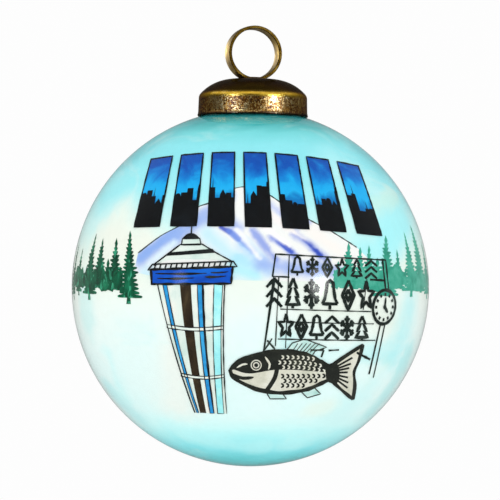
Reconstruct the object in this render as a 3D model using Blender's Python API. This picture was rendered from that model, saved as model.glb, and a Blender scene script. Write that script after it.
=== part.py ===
"""Souvenir christmas ball: a clear blown ball painted on its inside, a brass cap and a swivelling ring.

The origin is the hanging point, at the inside top of the ring, where a hook or a ribbon bears.
+Z is up, and the front of the painting faces -Y. Lengths are in metres.
"""

import math

import bmesh
import bpy

MM = 0.001

# The ball and its neck
BALL_RADIUS = 40.0 * MM
GLASS_WALL = 0.9 * MM
NECK_RADIUS = 9.2 * MM
NECK_TOP = 43.4 * MM  # above the ball's centre
NECK_FILLET = 1.0 * MM

# The paint on the inside of the glass
PAINT_GAP = 0.3 * MM
PAINT_THICKNESS = 0.4 * MM
PAINT_OPENING_RADIUS = 7.8 * MM

# The cap
CAP_TOP = 46.71 * MM  # above the ball's centre
CAP_RIM = 38.45 * MM  # above the ball's centre
CAP_WALL = 0.6 * MM
CAP_FLAT_RADIUS = 4.38 * MM
DOME_RADIUS = 9.94 * MM
DOME_END_DEG = 48.0
SKIRT_TOP_RADIUS = 12.18 * MM
SKIRT_RADIUS = 12.3 * MM
RIM_FLARE = 0.12 * MM
RIM_FLARE_HEIGHT = 0.5 * MM

# The ring, a band bent round a horizontal axis, coined flat and thin where it sits, and turned about +Z
RING_OUTER_RADIUS = 6.22 * MM
RING_THICKNESS = 0.77 * MM
RING_WIDTH = 3.75 * MM
RING_EDGE = 0.14 * MM
RING_SEAT_DEPTH = 0.51 * MM  # outside
RING_FLAT_DEPTH = 0.12 * MM  # inside
RING_TURN_DEG = 16.0

# The rivet, its washer and the clearances round them
SWIVEL_GAP = 0.1 * MM
SHANK_RADIUS = 1.1 * MM
SHANK_CLEARANCE = 0.1 * MM
HEAD_RADIUS = 1.6 * MM
HEAD_DEPTH = 0.2 * MM
HEAD_SINK = 0.05 * MM
TAIL_RADIUS = 1.9 * MM
TAIL_HEIGHT = 0.7 * MM
WASHER_RADIUS = 3.2 * MM
WASHER_THICKNESS = 0.5 * MM
STACK_GAP = 0.15 * MM

# The epoxy between the neck and the skirt
GLUE_GAP = 0.3 * MM
GLUE_BOTTOM = 39.9 * MM  # above the ball's centre
GLUE_TOP = 42.2 * MM  # above the ball's centre

# Heights that follow from the sizes above
RING_INNER_RADIUS = RING_OUTER_RADIUS - RING_THICKNESS
RING_CENTRE_Z = -RING_INNER_RADIUS
SEAT_Z = RING_CENTRE_Z - RING_OUTER_RADIUS + RING_SEAT_DEPTH
SEAT_TOP_Z = RING_CENTRE_Z - RING_INNER_RADIUS + RING_FLAT_DEPTH
CAP_TOP_Z = SEAT_Z - SWIVEL_GAP
BALL_CENTRE_Z = CAP_TOP_Z - CAP_TOP

BALL_SEGMENTS = 40
BALL_STEPS = 16
CAP_SEGMENTS = 40
RING_SEGMENTS = 64
SMALL_SEGMENTS = 24
SHARP_ANGLE = math.radians(35)


def material(name, colour, roughness, metallic=0.0, transmission=0.0):
    """A Principled material with plain values."""
    made = bpy.data.materials.new(name)
    made.use_nodes = True
    shader = made.node_tree.nodes["Principled BSDF"]
    shader.inputs["Base Color"].default_value = (*colour, 1.0)
    shader.inputs["Roughness"].default_value = roughness
    shader.inputs["Metallic"].default_value = metallic
    shader.inputs["Transmission Weight"].default_value = transmission
    return made


def arc(centre, radius, start_deg, end_deg, steps):
    """Points (r, z) on an arc, with angles measured from +r towards +z."""
    points = []
    for step in range(steps + 1):
        angle = math.radians(start_deg + (end_deg - start_deg) * step / steps)
        points.append((centre[0] + radius * math.cos(angle), centre[1] + radius * math.sin(angle)))
    return points


def round_wall(radius, opening):
    """Points (r, z) up a ball's wall, from its lowest point to an opening of that radius at the top."""
    opening_deg = math.degrees(math.acos(opening / radius))
    lower = arc((0.0, 0.0), radius, -90.0, 0.0, BALL_STEPS // 2)
    upper = arc((0.0, 0.0), radius, 0.0, opening_deg, BALL_STEPS // 2)
    return [(0.0, -radius), *lower[1:], *upper[1:]]


def turned(name, profile, segments, closed):
    """A mesh turned about Z from points (r, z): a tube if the profile is closed, or else a solid body."""
    build = bmesh.new()
    corners = [build.verts.new((r, 0.0, z)) for r, z in profile]
    pairs = list(zip(corners, corners[1:]))
    if closed:
        pairs.append((corners[-1], corners[0]))
    edges = [build.edges.new(pair) for pair in pairs]
    bmesh.ops.spin(
        build,
        geom=corners + edges,
        cent=(0.0, 0.0, 0.0),
        axis=(0.0, 0.0, 1.0),
        angle=math.tau,
        steps=segments,
        use_merge=True,
    )
    bmesh.ops.remove_doubles(build, verts=build.verts, dist=1e-7)
    bmesh.ops.recalc_face_normals(build, faces=build.faces)
    mesh = bpy.data.meshes.new(name)
    build.to_mesh(mesh)
    build.free()
    mesh.shade_smooth()
    mesh.set_sharp_from_angle(angle=SHARP_ANGLE)
    return mesh


def add_object(name, mesh, parent, finish, location=(0.0, 0.0, 0.0)):
    """An object with its own material, under its body's empty."""
    made = bpy.data.objects.new(name, mesh)
    bpy.context.scene.collection.objects.link(made)
    made.parent = parent
    made.location = location
    if finish is not None:
        made.data.materials.append(finish)
    return made


def add_empty(name, location, turn_deg=0.0):
    """A body's empty, on the swivel's axis."""
    made = bpy.data.objects.new(name, None)
    bpy.context.scene.collection.objects.link(made)
    made.location = location
    made.rotation_euler = (0.0, 0.0, math.radians(turn_deg))
    return made


def ring_mesh():
    """The band: a chamfered rectangle turned about Z, coined flat at one side and stood up on it."""
    inner, outer = RING_INNER_RADIUS, RING_OUTER_RADIUS
    half, edge = RING_WIDTH / 2, RING_EDGE
    profile = [
        (outer - edge, half),
        (outer, half - edge),
        (outer, edge - half),
        (outer - edge, -half),
        (inner + edge, -half),
        (inner, edge - half),
        (inner, half - edge),
        (inner + edge, half),
    ]
    mesh = turned("hanging_ring", profile, RING_SEGMENTS, closed=True)
    for vertex in mesh.vertices:
        x, y, z = vertex.co
        radius = math.hypot(x, y)
        share = (radius - inner) / RING_THICKNESS
        depth = RING_FLAT_DEPTH + (RING_SEAT_DEPTH - RING_FLAT_DEPTH) * share
        vertex.co = (x, -z, max(y, depth - radius))
    return mesh


def rivet_hole():
    """Cutter for the countersunk hole in the band's flat, in heights from the ring's centre."""
    below = -RING_OUTER_RADIUS - 1.0 * MM
    head_top = SEAT_TOP_Z - RING_CENTRE_Z - HEAD_SINK
    shank = SHANK_RADIUS + STACK_GAP
    head = HEAD_RADIUS + STACK_GAP
    cone_bottom = head_top - HEAD_DEPTH
    above = head_top + 1.0 * MM
    profile = [
        (0.0, above),
        (head, above),
        (head, head_top),
        (shank, cone_bottom),
        (shank, below),
        (0.0, below),
    ]
    return turned("rivet_hole", profile, SMALL_SEGMENTS, closed=False)


def rivet_profile():
    """Head, shank and peened tail, in the object's own heights."""
    head_top = SEAT_TOP_Z - HEAD_SINK + STACK_GAP / 2
    cone_bottom = head_top - HEAD_DEPTH
    tail_top = CAP_TOP_Z - CAP_WALL - WASHER_THICKNESS - 2 * STACK_GAP
    tail_bottom = tail_top - TAIL_HEIGHT
    return [
        (0.0, head_top),
        (HEAD_RADIUS, head_top),
        (SHANK_RADIUS, cone_bottom),
        (SHANK_RADIUS, tail_top),
        (TAIL_RADIUS, tail_top - 0.2 * TAIL_HEIGHT),
        (0.75 * TAIL_RADIUS, tail_bottom + 0.2 * TAIL_HEIGHT),
        (0.0, tail_bottom),
    ]


def washer_profile():
    """A flat washer just under the cap's top, round the shank."""
    top = CAP_TOP_Z - CAP_WALL - STACK_GAP
    bottom = top - WASHER_THICKNESS
    hole = SHANK_RADIUS + SHANK_CLEARANCE
    return [(hole, top), (WASHER_RADIUS, top), (WASHER_RADIUS, bottom), (hole, bottom)]


def cap_profile():
    """Outside from the top hole down to the rim, then back up the inside. Heights are from the cap's top."""
    hole = SHANK_RADIUS + SHANK_CLEARANCE
    end = math.radians(DOME_END_DEG)
    centre = (CAP_FLAT_RADIUS, -DOME_RADIUS)
    dome = arc(centre, DOME_RADIUS, 90.0, 90.0 - DOME_END_DEG, 8)
    shoulder_radius = (SKIRT_TOP_RADIUS - dome[-1][0]) / (1 - math.sin(end))
    shoulder_centre = (SKIRT_TOP_RADIUS - shoulder_radius, dome[-1][1] - shoulder_radius * math.cos(end))
    shoulder = arc(shoulder_centre, shoulder_radius, 90.0 - DOME_END_DEG, 0.0, 4)[1:]
    rim = CAP_RIM - CAP_TOP
    outside = [
        (hole, 0.0),
        *dome,
        *shoulder,
        (SKIRT_RADIUS, rim + RIM_FLARE_HEIGHT),
        (SKIRT_RADIUS + RIM_FLARE, rim),
    ]
    inside_dome = arc(centre, DOME_RADIUS - CAP_WALL, 90.0 - DOME_END_DEG, 90.0, 8)
    inside = [
        (SKIRT_RADIUS - CAP_WALL, rim),
        (SKIRT_TOP_RADIUS - CAP_WALL, shoulder[-1][1]),
        *inside_dome,
        (hole, -CAP_WALL),
    ]
    return outside + inside


def ball_profile():
    """The ball's outside, neck and fire-polished lip, and back down its inside. Heights from its centre."""
    inner_radius = BALL_RADIUS - GLASS_WALL
    neck_inner = NECK_RADIUS - GLASS_WALL
    lip_radius = GLASS_WALL / 2
    outside = round_wall(BALL_RADIUS, NECK_RADIUS + NECK_FILLET)
    outside.append((NECK_RADIUS + 0.3 * NECK_FILLET, outside[-1][1] + 0.45 * NECK_FILLET))
    outside.append((NECK_RADIUS, outside[-1][1] + 0.7 * NECK_FILLET))
    lip = arc((NECK_RADIUS - lip_radius, NECK_TOP - lip_radius), lip_radius, 0.0, 180.0, 4)
    inside = round_wall(inner_radius, neck_inner + 0.3 * NECK_FILLET)
    inside_neck = (neck_inner, inside[-1][1] + 0.6 * NECK_FILLET)
    return [*outside, *lip, inside_neck, *reversed(inside)]


def paint_profile():
    """The lining's outside and inside, open at the neck. Heights from the ball's centre."""
    outer_radius = BALL_RADIUS - GLASS_WALL - PAINT_GAP
    inner_radius = outer_radius - PAINT_THICKNESS
    outside = round_wall(outer_radius, PAINT_OPENING_RADIUS)
    inside = round_wall(inner_radius, PAINT_OPENING_RADIUS)
    return [*outside, *reversed(inside)]


def glue_profile():
    """The epoxy between the neck and the skirt. Heights from the ball's centre."""
    inner = NECK_RADIUS + GLUE_GAP
    outer = SKIRT_TOP_RADIUS - CAP_WALL - GLUE_GAP
    return [(inner, GLUE_TOP), (outer, GLUE_TOP), (outer, GLUE_BOTTOM), (inner, GLUE_BOTTOM)]


def build_hanger():
    """The ring, the rivet and the washer that turn together."""
    hanger = add_empty("hanger", (0.0, 0.0, 0.0), RING_TURN_DEG)
    brass = material("ring_brass", (0.33, 0.24, 0.07), 0.35, metallic=1.0)
    ring = add_object("hanging_ring", ring_mesh(), hanger, brass, (0.0, 0.0, RING_CENTRE_Z))
    cutter = add_object("rivet_hole", rivet_hole(), hanger, None, (0.0, 0.0, RING_CENTRE_Z))
    cutter.hide_render = True
    cutter.display_type = "WIRE"
    cut = ring.modifiers.new("countersunk_hole", "BOOLEAN")
    cut.operation = "DIFFERENCE"
    cut.object = cutter
    rivet_brass = material("rivet_brass", (0.30, 0.21, 0.06), 0.4, metallic=1.0)
    rivet = turned("swivel_rivet", rivet_profile(), SMALL_SEGMENTS, closed=False)
    add_object("swivel_rivet", rivet, hanger, rivet_brass)
    washer_brass = material("washer_brass", (0.55, 0.42, 0.16), 0.4, metallic=1.0)
    washer = turned("backing_washer", washer_profile(), SMALL_SEGMENTS, closed=True)
    add_object("backing_washer", washer, hanger, washer_brass)


def build_bauble():
    """The cap, the epoxy, the glass and its paint, which are one rigid body under the ring."""
    bauble = add_empty("bauble", (0.0, 0.0, CAP_TOP_Z))
    centre = (0.0, 0.0, BALL_CENTRE_Z - CAP_TOP_Z)
    cap_brass = material("cap_brass", (0.30, 0.20, 0.05), 0.45, metallic=1.0)
    cap = turned("cap_shell", cap_profile(), CAP_SEGMENTS, closed=True)
    add_object("cap_shell", cap, bauble, cap_brass)
    epoxy = material("epoxy", (0.75, 0.70, 0.55), 0.5)
    glue = turned("adhesive_ring", glue_profile(), CAP_SEGMENTS, closed=True)
    add_object("adhesive_ring", glue, bauble, epoxy, centre)
    glass = material("clear_glass", (1.0, 1.0, 1.0), 0.02, transmission=1.0)
    ball = turned("glass_ball", ball_profile(), BALL_SEGMENTS, closed=False)
    add_object("glass_ball", ball, bauble, glass, centre)
    paint = material("sky_paint", (0.62, 0.90, 0.92), 0.4)
    coat = turned("paint_coat", paint_profile(), BALL_SEGMENTS, closed=False)
    add_object("paint_coat", coat, bauble, paint, centre)


for old in list(bpy.data.objects):
    bpy.data.objects.remove(old)
build_hanger()
build_bauble()
bpy.context.view_layer.update()
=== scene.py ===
"""The looks of a souvenir christmas ball: glass painted inside, a patinated brass cap and a band ring.

Lengths are in metres in the row frame. The painting is laid out in millimetres on its front elevation: x is
to the right and z up from the ball's centre, as seen from -Y. Each colour is a thin film on the glass.
"""

import math
import random

import bmesh
import bpy
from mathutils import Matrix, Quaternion, Vector
from mathutils.geometry import delaunay_2d_cdt


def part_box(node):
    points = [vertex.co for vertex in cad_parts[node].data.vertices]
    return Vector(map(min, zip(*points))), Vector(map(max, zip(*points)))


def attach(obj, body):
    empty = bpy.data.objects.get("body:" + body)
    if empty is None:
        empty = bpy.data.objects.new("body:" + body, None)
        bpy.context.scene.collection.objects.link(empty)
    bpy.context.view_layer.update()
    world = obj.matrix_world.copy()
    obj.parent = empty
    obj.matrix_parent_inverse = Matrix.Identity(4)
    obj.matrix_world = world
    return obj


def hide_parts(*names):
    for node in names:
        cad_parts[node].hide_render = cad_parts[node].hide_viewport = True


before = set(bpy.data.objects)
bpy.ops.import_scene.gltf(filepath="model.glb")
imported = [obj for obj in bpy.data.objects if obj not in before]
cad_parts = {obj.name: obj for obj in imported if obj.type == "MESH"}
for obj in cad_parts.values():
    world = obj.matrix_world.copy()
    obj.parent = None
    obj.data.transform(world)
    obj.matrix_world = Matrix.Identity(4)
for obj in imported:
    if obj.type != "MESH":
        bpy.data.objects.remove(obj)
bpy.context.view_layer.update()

MM = 0.001
GLASS_LOW, GLASS_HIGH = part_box("glass_ball")
CAP_LOW, CAP_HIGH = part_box("cap_shell")
RING_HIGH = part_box("hanging_ring")[1]
BALL_RADIUS = (GLASS_HIGH.x - GLASS_LOW.x) / 2
CENTRE_Z = GLASS_LOW.z + BALL_RADIUS
GLASS_WALL = 0.9 * MM
INNER_RADIUS = BALL_RADIUS - GLASS_WALL

# The paint sinks this far into the glass's inner face, so that no air lies between them
BOND = 0.02 * MM
LAYER_STEP = 0.03 * MM
FILM = 0.02 * MM
PAINT_RADIUS = INNER_RADIUS + BOND
PICTURE_RADIUS = 39.3  # in millimetres, like the rest of the painting


# ---------------------------------------------------------------- camera, light and floor

CAMERA_DISTANCE = 0.4797
CAMERA_RISE = 0.0084
CAMERA_SIDE = -0.0002
CAMERA_ROLL_DEG = 0.77
LENS_MM = 153.7
SENSOR_MM = 36.0
BACKGROUND = 0.985
MATT_LIGHT = 1.17
MIRROR_FRONT = 0.08
MIRROR_BACK = 0.28
MIRROR_TURN = (-0.3, 0.8)  # Y of the directions between which mirror reflections pale
FLOOR_DROP = 0.3
FLOOR_RADIUS = 2.2

NEUTRAL = (1.0, 1.0, 1.0)
COOL = (0.95, 1.16, 2.0)
LIT_PIECES = {"cap": ("pressed_cap",), "ring": ("band_ring", "countersunk_rivet")}
SOFTBOX_FADE = (0.5, 0.1)  # from a box's middle, in box widths, to where its light is none and full
SOFTBOXES = [
    # name, azimuth, elevation, distance, width, height, watts, tint, what it lights (None is everything)
    ("right_softbox", 43, 1, 0.9, 0.28, 0.36, 2.4, NEUTRAL, None),
    ("left_softbox", -44, 3, 0.9, 0.22, 0.20, 0.25, NEUTRAL, None),
    ("cap_front_overhead", 0, 47, 0.6, 1.8, 0.6, 7.4, NEUTRAL, "cap"),
    ("cap_left_overhead", -85, 40, 0.6, 1.1, 0.5, 3.2, NEUTRAL, "cap"),
    ("cap_right_overhead", 85, 40, 0.6, 1.1, 0.5, 2.6, NEUTRAL, "cap"),
    ("cap_right_strip", 46, 4, 0.9, 0.13, 0.9, 23.0, COOL, "cap"),
    ("cap_left_strip", -41, 4, 0.9, 0.12, 0.9, 12.5, COOL, "cap"),
    ("ring_overhead", 0, 70, 0.6, 0.8, 0.8, 3.0, NEUTRAL, "ring"),
    ("ring_back_wall", -150, 7, 0.7, 0.7, 0.45, 2.6, NEUTRAL, "ring"),
    ("ring_right_wall", 112, 5, 0.7, 0.4, 0.4, 4.0, NEUTRAL, "ring"),
]


def direction(lon, lat):
    """A unit vector out from the middle. Longitude 0 is the front, and it grows to the right."""
    return Vector((math.sin(lon) * math.cos(lat), -math.cos(lon) * math.cos(lat), math.sin(lat)))


def map_range(tree, value, numbers, smooth=True):
    """A value mapped from one range, the first two numbers, to another, the last two."""
    node = tree.nodes.new("ShaderNodeMapRange")
    node.interpolation_type = "SMOOTHSTEP" if smooth else "LINEAR"
    tree.links.new(value, node.inputs[0])
    for socket, number in zip(node.inputs[1:5], numbers):
        socket.default_value = number
    return node.outputs[0]


def mix_shaders(tree, share, a, b):
    """A shader that goes from a to b as the share grows."""
    mixed = tree.nodes.new("ShaderNodeMixShader")
    for socket, value in zip(mixed.inputs, (share, a, b)):
        tree.links.new(value, socket)
    return mixed.outputs[0]


def add_camera():
    camera = bpy.data.objects.new("camera", bpy.data.cameras.new("camera"))
    bpy.context.scene.collection.objects.link(camera)
    camera.data.lens = LENS_MM
    camera.data.sensor_width = SENSOR_MM
    camera.location = (CAMERA_SIDE, -CAMERA_DISTANCE, CENTRE_Z + CAMERA_RISE)
    camera.rotation_mode = "QUATERNION"
    level = Quaternion((1, 0, 0), math.radians(90))
    camera.rotation_quaternion = level @ Quaternion((0, 0, 1), math.radians(CAMERA_ROLL_DEG))
    bpy.context.scene.camera = camera


def add_world():
    """White to the camera and to matt paint. Mirrors see a paler wall behind the object than in front."""
    world = bpy.data.worlds.new("studio")
    world.use_nodes = True
    tree = world.node_tree
    tree.nodes.clear()
    output = tree.nodes.new("ShaderNodeOutputWorld")
    path = tree.nodes.new("ShaderNodeLightPath")
    sky = {}
    for name, level in (("matt", MATT_LIGHT), ("mirror", 1.0), ("seen", BACKGROUND)):
        sky[name] = tree.nodes.new("ShaderNodeBackground")
        sky[name].inputs["Color"].default_value = (level, level, level, 1)
    towards = tree.nodes.new("ShaderNodeTexCoord")
    split = tree.nodes.new("ShaderNodeSeparateXYZ")
    tree.links.new(towards.outputs["Generated"], split.inputs[0])
    depth = map_range(tree, split.outputs["Y"], (*MIRROR_TURN, MIRROR_FRONT, MIRROR_BACK))
    tree.links.new(depth, sky["mirror"].inputs["Strength"])
    matt, mirror, seen = [sky[name].outputs[0] for name in ("matt", "mirror", "seen")]
    unseen = mix_shaders(tree, path.outputs["Is Glossy Ray"], matt, mirror)
    surface = mix_shaders(tree, path.outputs["Is Camera Ray"], unseen, seen)
    tree.links.new(surface, output.inputs["Surface"])
    bpy.context.scene.world = world
    bpy.context.scene.view_settings.view_transform = "Standard"


def add_softbox(name, azimuth_deg, elevation_deg, distance, width, height, watts, tint, receivers):
    """A softbox with a soft edge, which faces the cap and shows only as a highlight."""
    away = direction(math.radians(azimuth_deg), math.radians(elevation_deg))
    light = bpy.data.lights.new(name, "AREA")
    light.shape = "RECTANGLE"
    light.size = width
    light.size_y = height
    light.energy = watts
    light.color = tint
    light.use_nodes = True
    tree = light.node_tree
    place = tree.nodes.new("ShaderNodeNewGeometry")
    middle = tree.nodes.new("ShaderNodeVectorMath")
    middle.operation = "DISTANCE"
    middle.inputs[1].default_value = (0.5, 0.5, 0.0)
    tree.links.new(place.outputs["Parametric"], middle.inputs[0])
    fade = map_range(tree, middle.outputs["Value"], (*SOFTBOX_FADE, 0.0, 1.0))
    tree.links.new(fade, tree.nodes["Emission"].inputs["Strength"])
    holder = bpy.data.objects.new(name, light)
    bpy.context.scene.collection.objects.link(holder)
    holder.location = Vector((0, 0, CAP_LOW.z)) + away * distance
    holder.rotation_mode = "QUATERNION"
    holder.rotation_quaternion = (-away).to_track_quat("-Z", "Y")
    holder.visible_diffuse = False
    holder.visible_camera = False
    if receivers is not None:
        holder.light_linking.receiver_collection = receivers


def add_lights():
    """Two softboxes on everything, and the rest on the brass alone."""
    lit = {None: None}
    for group, names in LIT_PIECES.items():
        lit[group] = bpy.data.collections.new("lit_" + group)
        for name in names:
            lit[group].objects.link(bpy.data.objects[name])
    for *settings, group in SOFTBOXES:
        add_softbox(*settings, lit[group])


def add_floor():
    bpy.ops.mesh.primitive_circle_add(
        vertices=96, radius=FLOOR_RADIUS, fill_type="NGON", location=(0, 0, GLASS_LOW.z - FLOOR_DROP)
    )
    floor = bpy.context.object
    floor.name = "floor"
    pale = Paint("pale_floor")
    grain = pale.noise(40, detail=3)
    pale.colour(pale.mix(grain, "f3f3f0", "f8f8f6"))
    pale.set("Roughness", 0.8)
    floor.data.materials.append(pale.material)
    floor.visible_glossy = False


# ---------------------------------------------------------------- materials


def hexed(code):
    """A linear colour from an sRGB hex code."""
    channels = [int(code[i : i + 2], 16) / 255 for i in (0, 2, 4)]
    return (*[c / 12.92 if c <= 0.04045 else ((c + 0.055) / 1.055) ** 2.4 for c in channels], 1.0)


class Paint:
    """A Principled material and the node patterns that this scene uses, in object coordinates."""

    def __init__(self, name):
        self.material = bpy.data.materials.new(name)
        self.material.use_nodes = True
        self.tree = self.material.node_tree
        self.shader = self.tree.nodes["Principled BSDF"]
        self.place = self.add("ShaderNodeTexCoord").outputs["Object"]

    def add(self, kind, **settings):
        node = self.tree.nodes.new(kind)
        for key, value in settings.items():
            setattr(node, key, value)
        return node

    def feed(self, socket, value):
        """Links a socket, or sets a plain value. A colour may be a hex code."""
        if isinstance(value, bpy.types.NodeSocket):
            self.tree.links.new(value, socket)
        else:
            socket.default_value = hexed(value) if isinstance(value, str) else value

    def set(self, name, value):
        self.feed(self.shader.inputs[name], value)

    def colour(self, value):
        self.set("Base Color", value)

    def maths(self, operation, a, b=0.0, clamp=False):
        node = self.add("ShaderNodeMath", operation=operation, use_clamp=clamp)
        self.feed(node.inputs[0], a)
        self.feed(node.inputs[1], b)
        return node.outputs[0]

    def vector(self, operation, a, b=None):
        node = self.add("ShaderNodeVectorMath", operation=operation)
        self.feed(node.inputs[0], a)
        if b is not None:
            self.feed(node.inputs[1], b)
        return node

    def axis(self, letter):
        parts = self.add("ShaderNodeSeparateXYZ")
        self.feed(parts.inputs[0], self.place)
        return parts.outputs[letter]

    def noise(self, scale, detail, rough=0.55, stretch=(1, 1, 1), warp=0.0):
        """Noise from 0 to 1, with scale in features per metre along each axis."""
        spread = self.vector("MULTIPLY", self.place, stretch).outputs[0]
        node = self.add("ShaderNodeTexNoise")
        self.feed(node.inputs["Vector"], spread)
        node.inputs["Scale"].default_value = scale
        node.inputs["Detail"].default_value = detail
        node.inputs["Roughness"].default_value = rough
        node.inputs["Distortion"].default_value = warp
        return node.outputs["Fac"]

    def between(self, value, low, high, to_low=0.0, to_high=1.0, smooth=True):
        return map_range(self.tree, value, (low, high, to_low, to_high), smooth)

    def spots(self, scale, detail, low, high, to_low=0.0, to_high=1.0, **looks):
        """Noise that runs from to_low to to_high between two of its levels."""
        return self.between(self.noise(scale, detail, **looks), low, high, to_low, to_high)

    def ramp(self, value, stops):
        """A colour ramp from (position, hex code) pairs."""
        node = self.add("ShaderNodeValToRGB")
        self.feed(node.inputs[0], value)
        elements = node.color_ramp.elements
        while len(elements) < len(stops):
            elements.new(0.5)
        for element, (position, colour) in zip(elements, stops):
            element.position = position
            element.color = hexed(colour)
        return node.outputs["Color"]

    def mix(self, share, a, b, blend="MIX"):
        node = self.add("ShaderNodeMix", data_type="RGBA", blend_type=blend)
        self.feed(node.inputs[0], share)
        self.feed(node.inputs[6], a)
        self.feed(node.inputs[7], b)
        return node.outputs[2]

    def lay(self, colour, share, strength, code):
        """A colour laid over another, by a pattern's share times a strength."""
        return self.mix(self.maths("MULTIPLY", share, strength), colour, code)

    def bump(self, height, distance, strength):
        node = self.add("ShaderNodeBump")
        node.inputs["Strength"].default_value = strength
        node.inputs["Distance"].default_value = distance
        self.feed(node.inputs["Height"], height)
        self.tree.links.new(node.outputs[0], self.shader.inputs["Normal"])
        self.tree.links.new(node.outputs[0], self.shader.inputs["Coat Normal"])

    def streak(self, start, end, width, wobble):
        """A soft-edged brush mark from start to end, points (x, z) on the front elevation."""
        a, b = [front(*point) * PICTURE_RADIUS * MM + Vector((0, 0, CENTRE_Z)) for point in (start, end)]
        along = b - a
        offset = self.vector("SUBTRACT", self.place, tuple(a)).outputs[0]
        dot = self.vector("DOT_PRODUCT", offset, tuple(along)).outputs["Value"]
        share = self.maths("DIVIDE", dot, max(along.length_squared, 1e-9), clamp=True)
        reach = self.vector("SCALE", tuple(along))
        self.feed(reach.inputs["Scale"], share)
        gap = self.vector("DISTANCE", offset, reach.outputs[0]).outputs["Value"]
        return self.between(self.maths("ADD", gap, wobble), width * MM, 0.0)


def plain_finish(name, code, roughness, metallic):
    """A quiet finish for pieces that the cap hides."""
    finish = Paint(name)
    speckle = finish.noise(900, detail=3)
    darker = tuple(0.75 * c for c in hexed(code)[:3]) + (1.0,)
    finish.colour(finish.mix(speckle, darker, code))
    finish.set("Roughness", roughness)
    finish.set("Metallic", metallic)
    return finish.material


def clear_glass():
    """Glass that light from lamps and matt paint passes straight through, so that the paint stays lit."""
    glass = Paint("clear_glass")
    glass.set("Base Color", (1, 1, 1, 1))
    glass.set("Roughness", 0.0)
    glass.set("IOR", 1.5)
    glass.set("Transmission Weight", 1.0)
    path = glass.add("ShaderNodeLightPath")
    through = glass.maths("MAXIMUM", path.outputs["Is Shadow Ray"], path.outputs["Is Diffuse Ray"])
    passing = glass.add("ShaderNodeBsdfTransparent")
    either = mix_shaders(glass.tree, through, glass.shader.outputs[0], passing.outputs[0])
    glass.tree.links.new(either, glass.tree.nodes["Material Output"].inputs["Surface"])
    return glass.material


# ---------------------------------------------------------------- meshes


def arc(centre, radius, start_deg, end_deg, steps):
    """Points (r, z) on an arc, with angles measured from +r towards +z."""
    points = []
    for step in range(steps + 1):
        angle = math.radians(start_deg + (end_deg - start_deg) * step / steps)
        points.append((centre[0] + radius * math.cos(angle), centre[1] + radius * math.sin(angle)))
    return points


def turned(name, profile, segments, closed, sharp_deg=40):
    """A mesh turned about Z from points (r, z): a tube if the profile is closed, or else a solid body."""
    build = bmesh.new()
    corners = [build.verts.new((r, 0.0, z)) for r, z in profile]
    pairs = list(zip(corners, corners[1:]))
    if closed:
        pairs.append((corners[-1], corners[0]))
    edges = [build.edges.new(pair) for pair in pairs]
    bmesh.ops.spin(
        build,
        geom=corners + edges,
        cent=(0.0, 0.0, 0.0),
        axis=(0.0, 0.0, 1.0),
        angle=math.tau,
        steps=segments,
        use_merge=True,
    )
    bmesh.ops.remove_doubles(build, verts=build.verts, dist=1e-7)
    bmesh.ops.recalc_face_normals(build, faces=build.faces)
    mesh = bpy.data.meshes.new(name)
    build.to_mesh(mesh)
    build.free()
    mesh.shade_smooth()
    mesh.set_sharp_from_angle(angle=math.radians(sharp_deg))
    return mesh


def add_piece(name, mesh, material, body, replaces=None):
    """A piece in the row frame that rides on a body and takes its finish from a slot."""
    piece = bpy.data.objects.new(name, mesh)
    bpy.context.scene.collection.objects.link(piece)
    mesh.materials.append(material)
    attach(piece, body)
    if replaces:
        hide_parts(replaces)
    return piece


def front(x, z):
    """The direction from the ball's centre to a point of the front elevation, in millimetres."""
    u, w = x / PICTURE_RADIUS, z / PICTURE_RADIUS
    return Vector((u, -math.sqrt(max(1e-6, 1 - u * u - w * w)), w)).normalized()


def patch(lon_deg, lat_deg):
    """A function that places millimetres to the right of and above a point of the ball."""

    def place(x, z):
        lat = math.radians(lat_deg) + z / PICTURE_RADIUS
        lon = math.radians(lon_deg) + x / (PICTURE_RADIUS * math.cos(math.radians(lat_deg)))
        return direction(lon, lat)

    return place


def bend(t, a, b, c, d):
    """A Catmull-Rom curve between b and c, for t from 0 to 1."""
    square, cube = 2 * a - 5 * b + 4 * c - d, 3 * b - a - 3 * c + d
    return 0.5 * (2 * b + (c - a) * t + square * t * t + cube * t**3)


def smooth(points, closed=False, step=0.6):
    """A curve through the points, with a point about every step."""
    count = len(points)
    out = []
    for i in range(count if closed else count - 1):
        before = points[(i - 1) % count] if closed or i > 0 else points[0]
        start, end = points[i], points[(i + 1) % count]
        after = points[(i + 2) % count] if closed or i + 2 < count else points[-1]
        pieces = max(1, round(math.dist(start, end) / step))
        for k in range(pieces):
            out.append(tuple(bend(k / pieces, *row) for row in zip(before, start, end, after)))
    if not closed:
        out.append(tuple(points[-1]))
    return out


def straight(points, closed=False, step=0.6):
    """Straight lines between the points, with a point about every step."""
    out = []
    ends = points[1:] + points[:1] if closed else points[1:]
    for a, b in zip(points, ends):
        pieces = max(1, round(math.dist(a, b) / step))
        out += [tuple(p + (q - p) * k / pieces for p, q in zip(a, b)) for k in range(pieces)]
    if not closed:
        out.append(tuple(points[-1]))
    return out


ROW_HEIGHT = 0.97  # of a sheet's rows of points, as a share of their spacing
EDGE_GAP = 0.45  # from a sheet's edge to its inner points, as a share of their spacing


def inside(point, outline):
    """Whether a closed outline goes round a point."""
    x, y = point
    hit = False
    for (ax, ay), (bx, by) in zip(outline, outline[1:] + outline[:1]):
        if (ay > y) != (by > y) and x < (bx - ax) * (y - ay) / (by - ay) + ax:
            hit = not hit
    return hit


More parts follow.
